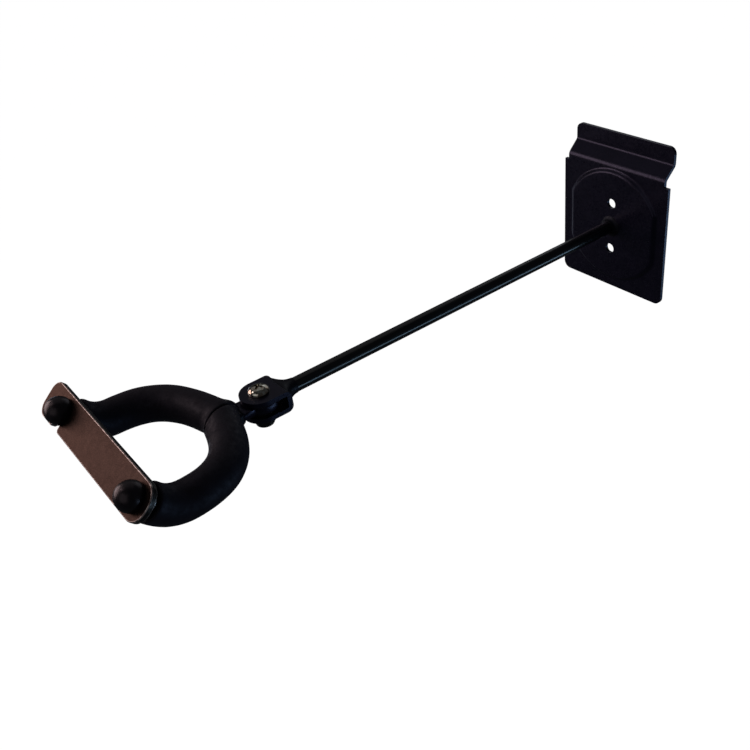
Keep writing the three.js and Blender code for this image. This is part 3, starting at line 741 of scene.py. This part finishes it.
def clevis():
    """A strap folded into a U: two round-nosed ears and the web that the arm is welded to."""
    back = CLEVIS_HIGH.y
    front = PIVOT.y - EAR_RADIUS - 1
    path = [(front, EAR_OUTSIDE), (back, EAR_OUTSIDE), (back, -EAR_OUTSIDE), (front, -EAR_OUTSIDE)]
    web = back - STRAP
    hollow = [(front, -EAR_INSIDE), (web, -EAR_INSIDE), (web, EAR_INSIDE), (front, EAR_INSIDE)]
    inner = STRAP_BEND - STRAP
    strip = rounded(path, [0, STRAP_BEND, STRAP_BEND, 0], 9) + rounded(hollow, [0, inner, inner, 0], 6)
    strap = prism("clevis", [(y, ARM_Z + z) for y, z in strip], side_place, -EAR_RADIUS, EAR_RADIUS)
    plan = arc(0, PIVOT.y, EAR_RADIUS - 0.002, 180, 360, 48)
    past = EAR_RADIUS + 1
    plan += [(past, PIVOT.y + 1), (past, back + 1), (-past, back + 1), (-past, PIVOT.y + 1)]
    tall = 2 * EAR_OUTSIDE
    carve(strap, prism("plan", plan, level_place, ARM_Z - tall, ARM_Z + tall), "INTERSECT")
    drill(strap, BOLT_HOLE, -tall, tall)
    show(bevel(strap, 0.4, 3, 35), "clevis_bracket")


def cross_blade(turn, top):
    """One tapered blade of a cross-point driver, to cut its recess: heights, half lengths, half widths."""
    rings = []
    for level, long, wide in ((top + 1, 3.0, 0.66), (top - 0.8, 2.35, 0.56), (top - 1.9, 0.9, 0.4)):
        corners = [(-long, -wide), (long, -wide), (long, wide), (-long, wide)]
        spin = Matrix.Rotation(turn, 2)
        rings.append([Vector((*(spin @ Vector(c)), level)) + Vector((0, PIVOT.y, 0)) for c in corners])
    return loft("blade", rings)


def pivot_bolt():
    """The swivel bolt, domed, with a cross recess."""
    low, high = extent("pivot_bolt")
    foot = low.z - ARM_Z
    base = EAR_OUTSIDE + FIT
    chamfer = 0.5
    edge = 0.15
    rim = 0.5  # the head's straight side under its dome
    dome = high.z - ARM_Z - base - rim
    steps = 20
    profile = [(0, foot), (BOLT_RADIUS - chamfer, foot), (BOLT_RADIUS, foot + chamfer), (BOLT_RADIUS, base)]
    profile += [(HEAD_RADIUS - edge, base), (HEAD_RADIUS, base + edge), (HEAD_RADIUS, base + rim)]
    for k in range(1, steps + 1):
        a = k / steps * math.pi / 2
        profile.append((HEAD_RADIUS * math.cos(a), base + rim + dome * math.sin(a)))
    bolt = turned("pivot_bolt", profile, PIVOT, Z, 72)
    for turn in (0.2 * math.pi, 0.7 * math.pi):
        carve(bolt, cross_blade(turn, high.z))
    show(bevel(bolt, 0.1, 2, 35), "pivot_bolt")


def washer(node, bore, radius, edge):
    """A flat ring on the bolt, its corners rounded by `edge`."""
    low, high = extent(node)
    section = [(bore, low.z), (radius, low.z), (radius, high.z), (bore, high.z)]
    profile = [(r, z - ARM_Z) for r, z in rounded(section, edge, 3)]
    show(turned(node, profile, PIVOT, Z, 64, closed=True), node)


def lock_nut():
    """A hexagon nut with chamfered corners and a round collar turned in over its nylon ring."""
    low, high = extent("lock_nut")
    top = high.z - ARM_Z
    bottom = low.z - ARM_Z
    hex_low = bottom + 1.4
    corner = NUT_FLATS / math.sqrt(3)
    flats = [TAU * k / 6 for k in range(6)]
    hexagon = [(corner * math.cos(a), PIVOT.y + corner * math.sin(a)) for a in flats]
    nut = prism("lock_nut", hexagon, level_place, ARM_Z + hex_low, ARM_Z + top)
    flat = corner - 0.65
    clear = corner + 0.1
    chamfer = 0.5
    hair = 0.01
    crown = [(0, hex_low - hair), (flat, hex_low - hair), (clear, hex_low + chamfer)]
    crown += [(clear, top - chamfer), (flat, top + hair), (0, top + hair)]
    carve(nut, turned("crown", crown, PIVOT, Z, 72), "INTERSECT")
    collar_radius = NUT_FLATS / 2 - 0.25
    collar = [(0, bottom), (collar_radius - 0.7, bottom), (collar_radius - 0.2, bottom + 0.25)]
    collar += [(collar_radius, bottom + 0.8), (collar_radius, hex_low + 1), (0, hex_low + 1)]
    carve(nut, turned("collar", collar, PIVOT, Z, 72), "UNION")
    seat = 4.1  # the ring's seat is wider than the bolt hole
    seat_top = bottom + 1.5
    bore = [(0, bottom - 1), (seat, bottom - 1), (seat, seat_top), (BOLT_HOLE, seat_top)]
    bore += [(BOLT_HOLE, top + 1), (0, top + 1)]
    carve(nut, turned("bore", bore, PIVOT, Z, 48))
    show(bevel(nut, 0.12, 2, 28), "lock_nut")


# ---- yoke ----


POINT = Vector((0, PIVOT.y - YOKE_BACK, ARM_Z + YOKE_Z))
SIDE_END = Vector((YOKE_HALF, POINT.y - YOKE_DEPTH, POINT.z))  # where a prong starts to turn up
LEAVE = Vector((math.cos(YOKE_SPREAD), -math.sin(YOKE_SPREAD), 0))
CURVE = (POINT, POINT + LEAVE * POINT_PULL, SIDE_END + Y * SIDE_PULL, SIDE_END)


def curve(t):
    """A prong's flat centre line: the place and the slope at a share of its course."""
    a, b, c, d = CURVE
    s = 1 - t
    place = a * s**3 + b * (3 * s * s * t) + c * (3 * s * t * t) + d * t**3
    slope = (b - a) * (s * s) + (c - b) * (2 * s * t) + (d - c) * (t * t)
    return place, slope.normalized()


CURVE_STEPS = 400
CURVE_LENGTHS = [0.0]
for step in range(CURVE_STEPS):
    chord = curve((step + 1) / CURVE_STEPS)[0] - curve(step / CURVE_STEPS)[0]
    CURVE_LENGTHS.append(CURVE_LENGTHS[-1] + chord.length)
PRONG_LENGTH = CURVE_LENGTHS[-1]
BEND_LENGTH = TIP_BEND * TIP_ANGLE
TIP_START = PRONG_LENGTH + BEND_LENGTH + TIP_RUN


def prong_frame(distance):
    """Centre, outer side and upper side of the right-hand prong at a distance from the yoke's point."""
    if distance < 0:
        return POINT + LEAVE * distance, Vector((-LEAVE.y, LEAVE.x, 0)), Z
    if distance < PRONG_LENGTH:
        i = bisect.bisect_right(CURVE_LENGTHS, distance) - 1
        share = (distance - CURVE_LENGTHS[i]) / (CURVE_LENGTHS[i + 1] - CURVE_LENGTHS[i])
        place, slope = curve((i + share) / CURVE_STEPS)
        return place, Vector((-slope.y, slope.x, 0)), Z
    past = distance - PRONG_LENGTH
    a = min(past / TIP_BEND, TIP_ANGLE)
    place = SIDE_END + Vector((0, -TIP_BEND * math.sin(a), TIP_BEND * (1 - math.cos(a))))
    return place + TIP * max(past - BEND_LENGTH, 0), X, Vector((0, math.sin(a), math.cos(a)))


def prong_point(hand, distance, radius, angle):
    """A point on a round section of the right (1) or left (-1) prong; angle 0 is its outer side."""
    place, side, up = prong_frame(distance)
    point = place + (side * math.cos(angle) + up * math.sin(angle)) * radius
    point.x *= hand
    return point


def tip_point(side, past):
    """A point on the centre line of a tip, past the end of the prong's straight run."""
    return prong_point(side, TIP_START + past, 0, 0)


def crossing(place, low=-16.0, high=16.0):
    """Where a rising function of distance passes zero."""
    for _ in range(26):
        middle = (low + high) / 2
        if place(middle) < 0:
            low = middle
        else:
            high = middle
    return (low + high) / 2


@functools.cache
def mitre(radius, angle):
    """How far along the prong its line at that radius and angle meets the other prong's."""
    return crossing(lambda d: prong_point(1, d, radius, angle).x)


def bar_point(distance, radius, angle):
    """A point of the whole yoke's skin; negative distances lie on the left-hand prong."""
    fade = 15  # the mitre's slant dies out over this length
    d = abs(distance)
    start = mitre(radius, angle) * (1 - smoothstep(d / fade))
    return prong_point(math.copysign(1, distance), d + start, radius, angle)


def yoke_rod():
    """Round bar bent to a point, its ends turned down to carry collar, gate and ball cap."""
    end = TIP_START + ROD_SHOULDER
    neck_end = TIP_START + NECK_END
    edge = 0.3
    chamfer = 0.6
    steps = 70
    prong = [(k / steps * (end - edge), ROD_RADIUS) for k in range(steps + 1)]
    prong += [(end, ROD_RADIUS - edge), (end, NECK_RADIUS)]
    prong += [(neck_end - chamfer, NECK_RADIUS), (neck_end, NECK_RADIUS - chamfer)]
    stations = [(-d, r) for d, r in reversed(prong[1:])] + prong
    around = 40
    rings = [[bar_point(d, r, TAU * k / around) for k in range(around)] for d, r in stations]
    show(loft("yoke_rod", rings), "yoke_rod")


def clearance():
    """The bar's back, a gap bigger all round, to cut what is fitted to it."""
    reach = 20
    turn = [TAU * k / 48 for k in range(48)]
    rings = [[bar_point(float(d), ROD_RADIUS + GAP, a) for a in turn] for d in range(-reach, reach + 1)]
    return loft("clearance", rings)


def tongue():
    """The flat lug that the swivel bolt passes through, notched round the bar."""
    eye = 8.4
    shoulder = math.degrees(math.asin(TONGUE_HALF / eye))
    plan = arc(0, PIVOT.y, eye, -90 + shoulder, 270 - shoulder, 56)
    plan += [(-TONGUE_HALF, POINT.y), (TONGUE_HALF, POINT.y)]
    lug = prism("tongue", plan, level_place, TONGUE_LOW.z, TONGUE_HIGH.z)
    drill(lug, BOLT_HOLE, -EAR_OUTSIDE, EAR_OUTSIDE)
    bevel(lug, 0.45, 3, 35)
    carve(lug, clearance())
    show(lug, "yoke_tongue", sharp=50)


def box_ring(out, corner, y):
    """A rounded oblong round the tongue, `out` clear of it on every side."""
    wide = TONGUE_HALF + out
    tall = (TONGUE_HIGH.z - TONGUE_LOW.z) / 2 + out
    corners = [(-wide, -tall), (wide, -tall), (wide, tall), (-wide, tall)]
    return [Vector((x, y, ARM_Z + z)) for x, z in rounded(corners, corner, 6)]


def yoke_weld():
    """A bead round the tongue where it meets the bar."""
    low, high = extent("yoke_weld")
    run = high.y - low.y
    corner = 0.5
    swell = [(0.0, 0.0), (1.6, 0.0), (1.9, 0.2), (1.8, 0.45)]  # thickness, and the share of the bead's run
    swell += [(1.2, 0.75), (0.5, 0.97), (0.2, 1.0), (0.0, 1.0)]
    rings = [box_ring(FIT + thick, corner + thick, low.y + run * share) for thick, share in swell]
    bead = loft("yoke_weld", rings, closed=True)
    carve(bead, clearance())
    show(bead, "yoke_weld", sharp=60)


# ---- foam sleeves ----

SEAM_TURN = math.radians(12.5)  # the sleeves meet on a slanting plane beside the yoke's point
SEAM_NORMAL = Vector((math.cos(SEAM_TURN), math.sin(SEAM_TURN), 0))
SEAM_AT = POINT + X * 3.4


def soft_point(distance, radius, angle):
    """The foam's skin, which rounds the point of the yoke instead of folding sharply over it."""
    reach = 1.6 * smoothstep(1 - abs(distance) / 12)
    shares = (-1, -0.6, -0.2, 0.2, 0.6, 1)
    samples = [bar_point(distance + reach * share, radius, angle) for share in shares]
    return sum(samples, Vector((0, 0, 0))) / len(samples)


@functools.cache
def seam_distance(radius, angle, side):
    """Where the line at that radius and angle meets the seam."""
    return crossing(lambda d: (soft_point(d, radius, angle) - SEAM_AT).dot(SEAM_NORMAL) - side * GAP / 2)


def foam_relief(point, distance, angle):
    """Slow lumps all over, and soft creases where the bends squeeze the foam."""
    lumps = 0.16 * noise.noise(point / 15) + 0.05 * noise.noise(point / 5)
    inner = max(0.0, -math.cos(angle)) if abs(distance) < PRONG_LENGTH else max(0.0, math.sin(angle))
    squeeze = smoothstep(0.2 + noise.noise(point / 17))
    fold = noise.noise(Vector((distance / 1.9, angle, 3)))
    return lumps - 0.1 * inner**2 * squeeze * max(fold, 0)


def foam_sleeve(side, node):
    """One foam tube, soft-edged, from the seam to the collar, slit where the tongue passes."""
    around = 88
    soft = 1.2  # radius of the outer edges
    nick = 0.3  # chamfer of the bore's edges
    fade = 26  # the seam's slant dies out over this length
    end = TIP_START + ROD_SHOULDER - GAP
    length = 150
    edge = []
    for k in range(7):
        a = k / 6 * math.pi / 2
        edge.append((soft * (1 - math.cos(a)), FOAM_RADIUS - soft * (1 - math.sin(a))))
    stations = edge + [(soft + (end - 2 * soft) * k / length, FOAM_RADIUS) for k in range(1, length)]
    stations += [(end - d, r) for d, r in reversed(edge)]
    stations += [(end, FOAM_BORE + nick), (end - nick, FOAM_BORE)]
    stations += [(end * k / 60, FOAM_BORE) for k in range(59, 0, -1)]
    stations += [(nick, FOAM_BORE), (0.0, FOAM_BORE + nick)]
    rings = []
    for distance, radius in stations:
        ring = []
        for k in range(around):
            a = TAU * k / around
            d = side * distance + seam_distance(radius, a, side) * (1 - smoothstep(distance / fade))
            relief = foam_relief(soft_point(d, radius, a), d, a) if radius > FOAM_RADIUS - soft else 0
            ring.append(soft_point(d, radius + relief, a))
        rings.append(ring)
    sleeve = loft(node, rings, closed=True)
    weld_low, weld_high = extent("yoke_weld")
    wide = 2.2  # clears the weld
    step = weld_high.y + GAP
    slit = [(wide, weld_low.y - 1), (wide, step), (GAP, step), (GAP, PIVOT.y)]
    carve(sleeve, loft("slit", [box_ring(room, 0.4 + room, y) for room, y in slit]))
    show(sleeve, node, sharp=55)


# ---- collars, balls and gate ----


def end_collar(side, node):
    """The round collar that the gate turns on or rests against."""
    low = ROD_SHOULDER + FIT
    high = low + COLLAR_THICK
    bore = NECK_RADIUS + FIT
    corners = [(bore, low), (COLLAR_RADIUS, low), (COLLAR_RADIUS, high), (bore, high)]
    section = rounded(corners, [0.2, 0.7, 0.7, 0.2], 5)
    show(turned(node, section, tip_point(side, 0), TIP, 80, closed=True), node)


def ball_cap(side, node):
    """A rubber ball with a flat foot, bored from below for the tip's neck."""
    bore = NECK_RADIUS + FIT
    base = GATE_BACK + GATE_THICK + 0.1
    edge = base + 0.35
    centre = GATE_BACK + GATE_THICK + BALL_LIFT
    start = math.asin((edge - centre) / BALL_RADIUS)
    rim = BALL_RADIUS * math.cos(start)
    steps = 36
    profile = [(0, NECK_END + FIT), (bore, NECK_END + FIT), (bore, base)]
    profile += rounded([(bore, base), (rim - 0.12, base), (rim, edge)], 0.3, 4, closed=False)[1:-1]
    for k in range(steps + 1):
        a = start + (math.pi / 2 - start) * k / steps
        profile.append((BALL_RADIUS * math.cos(a), centre + BALL_RADIUS * math.sin(a)))
    show(turned(node, profile, tip_point(side, 0), TIP, 96), node)


def gate():
    """A flat strip with rounded ends, drilled at the pivot and hooked at the latch."""
    far = -2 * YOKE_HALF  # the left-hand tip, from the pivot
    half = 9.2
    slot = 2.9  # half width of the latch slot
    mouth = 1.2  # the slot widens by this much at its mouth
    near_corner = 8.4
    near_x = 10.5 - near_corner
    near_y = half - near_corner
    far_corner = 6
    far_x = far - 20 + far_corner
    far_y = half - far_corner
    outline = [(far + slot + mouth, -half), *arc(near_x, -near_y, near_corner, -90, 0, 20)]
    outline += arc(near_x, near_y, near_corner, 0, 90, 20)
    outline += arc(far_x, far_y, far_corner, 90, 180, 16)
    outline += arc(far_x, -far_y, far_corner, 180, 270, 16)
    outline += [(far - slot - mouth, -half), (far - slot, -half + mouth), *arc(far, 0, slot, 180, 0, 28)]
    outline += [(far + slot, -half + mouth)]

    def place(a, b, level):
        return GATE_PIVOT + X * a + TIP_BACK * b + TIP * level

    strip = prism("gate", outline, place, 0, GATE_THICK)
    drill(strip, NECK_RADIUS + GAP, -1, GATE_THICK + 1, GATE_PIVOT, TIP, 56)
    strip.data.materials.clear()
    for finish in (MATERIALS["bronzed_steel"], rim_highlight(), sheared_steel()):
        strip.data.materials.append(finish)
    face, rim, cut_edge = range(3)
    for polygon in strip.data.polygons:
        flat = abs(polygon.normal.dot(TIP)) > 0.5
        polygon.material_index = face if flat else cut_edge
    # the bevel's faces carry the painted rim highlight
    bevel(strip, 0.55, 4, 35).modifiers["bevel"].material = rim
    show(strip, "retaining_gate")


wall_plate()
arm()
base_weld()
flare_weld()
clevis()
pivot_bolt()
washer("friction_washer_upper", BOLT_HOLE, 7.8, 0.2)
washer("friction_washer_lower", BOLT_HOLE, 7.8, 0.2)
washer("nut_washer", BOLT_HOLE, 6.2, 0.2)
lock_nut()
washer("lock_nut_insert", BOLT_HOLE, 4.05, 0.25)
yoke_rod()
tongue()
yoke_weld()
for side, hand in ((1, "right"), (-1, "left")):
    foam_sleeve(side, f"foam_sleeve_{hand}")
    end_collar(side, f"end_collar_{hand}")
    ball_cap(side, f"ball_cap_{hand}")
gate()

# ---- floor, light and camera ----


def stage_floor():
    """A pale floor well below the hanger: white to the camera, a dim soft grey in reflections."""
    drop = 0.5
    reach = 6.0
    low = CAD_BOX[0].z - drop
    square = [(-reach, -reach), (reach, -reach), (reach, reach), (-reach, reach)]
    floor = mesh_object("floor", [Vector((x, y, low)) / MM for x, y in square], [(0, 1, 2, 3)])
    material = bpy.data.materials.new("pale_floor")
    material.use_nodes = True
    tree = material.node_tree
    tree.nodes.clear()
    seen = tree.nodes.new("ShaderNodeEmission")
    seen.inputs["Color"].default_value = (1, 1, 1, 1)
    seen.inputs["Strength"].default_value = 1.0
    matte = tree.nodes.new("ShaderNodeBsdfDiffuse")
    matte.inputs["Color"].default_value = (0.1, 0.1, 0.1, 1)
    both = tree.nodes.new("ShaderNodeAddShader")
    dim = tree.nodes.new("ShaderNodeEmission")
    dim.inputs["Color"].default_value = (0.82, 0.88, 1, 1)
    dim.inputs["Strength"].default_value = 0.035
    pick = tree.nodes.new("ShaderNodeMixShader")
    path = tree.nodes.new("ShaderNodeLightPath")
    out = tree.nodes.new("ShaderNodeOutputMaterial")
    tree.links.new(seen.outputs[0], both.inputs[0])
    tree.links.new(matte.outputs[0], both.inputs[1])
    tree.links.new(path.outputs["Is Camera Ray"], pick.inputs[0])
    tree.links.new(dim.outputs[0], pick.inputs[1])
    tree.links.new(both.outputs[0], pick.inputs[2])
    tree.links.new(pick.outputs[0], out.inputs["Surface"])
    floor.data.materials.append(material)


def sky():
    """White behind the hanger, dim and slightly cool in reflections."""
    world = bpy.data.worlds.new("studio")
    bpy.context.scene.world = world
    world.use_nodes = True
    tree = world.node_tree
    tree.nodes.clear()
    path = tree.nodes.new("ShaderNodeLightPath")
    dim = tree.nodes.new("ShaderNodeBackground")
    dim.inputs["Color"].default_value = (0.85, 0.9, 1, 1)
    dim.inputs["Strength"].default_value = 0.03
    white = tree.nodes.new("ShaderNodeBackground")
    white.inputs["Color"].default_value = (1, 1, 1, 1)
    pick = tree.nodes.new("ShaderNodeMixShader")
    out = tree.nodes.new("ShaderNodeOutputWorld")
    tree.links.new(path.outputs["Is Camera Ray"], pick.inputs[0])
    tree.links.new(dim.outputs[0], pick.inputs[1])
    tree.links.new(white.outputs[0], pick.inputs[2])
    tree.links.new(pick.outputs[0], out.inputs["Surface"])


def softbox(name, direction, distance, size, watts, colour):
    """An area light that shines on the middle of the hanger from that direction."""
    centre = (CAD_BOX[0] + CAD_BOX[1]) / 2
    data = bpy.data.lights.new(name, "AREA")
    data.shape = "RECTANGLE"
    data.size, data.size_y = size
    data.energy = watts
    data.color = colour
    lamp = bpy.data.objects.new(name, data)
    lamp.location = centre + Vector(direction).normalized() * distance
    lamp.rotation_mode = "QUATERNION"
    lamp.rotation_quaternion = Vector(direction).to_track_quat("Z", "Y")
    lamp.visible_camera = False
    bpy.context.scene.collection.objects.link(lamp)


def camera():
    """The viewing angle: from the front right, above, turned a little on its own axis."""
    azimuth, elevation, roll = (math.radians(a) for a in (57.56, 34.36, -7.79))
    back = Vector((math.sin(azimuth), -math.cos(azimuth), math.tan(elevation))).normalized()
    level = Z.cross(back).normalized()
    upright = back.cross(level)
    right = level * math.cos(roll) + upright * math.sin(roll)
    up = back.cross(right)
    data = bpy.data.cameras.new("camera")
    data.sensor_width = 36
    data.lens = 43.58
    data.clip_start = 0.01
    obj = bpy.data.objects.new("camera", data)
    at = Vector((329.6, -392.5, 249.2 + ARM_Z)) * MM
    obj.matrix_world = Matrix.Translation(at) @ Matrix((right, up, back)).transposed().to_4x4()
    bpy.context.scene.collection.objects.link(obj)
    bpy.context.scene.camera = obj


stage_floor()
sky()
softbox("key", (-0.69, -0.57, 0.2), 0.9, (0.6, 0.6), 2.6, (1.0, 0.8, 0.77))
softbox("glint", (-0.42, -0.57, 0.71), 0.9, (0.14, 0.14), 0.25, (1.0, 0.84, 0.82))
softbox("top", (-0.58, 0.2, 0.82), 1.3, (1.5, 1.5), 0.8, (1.0, 0.98, 0.98))
softbox("strip", (0.8, 0.55, -0.39), 1.07, (0.9, 0.18), 1.55, (0.45, 0.72, 1.0))
softbox("low_left", (-0.9, -0.05, -0.42), 0.9, (0.25, 0.5), 0.35, (0.8, 0.85, 1.0))
softbox("front", (0.35, -1.0, 0.5), 1.2, (1.0, 1.0), 0.85, (1.0, 0.97, 0.97))
softbox("back", (-0.5, 0.9, 0.35), 1.6, (1.0, 1.0), 1.0, (0.9, 0.95, 1.0))
camera()
bpy.context.scene.view_settings.view_transform = "Standard"
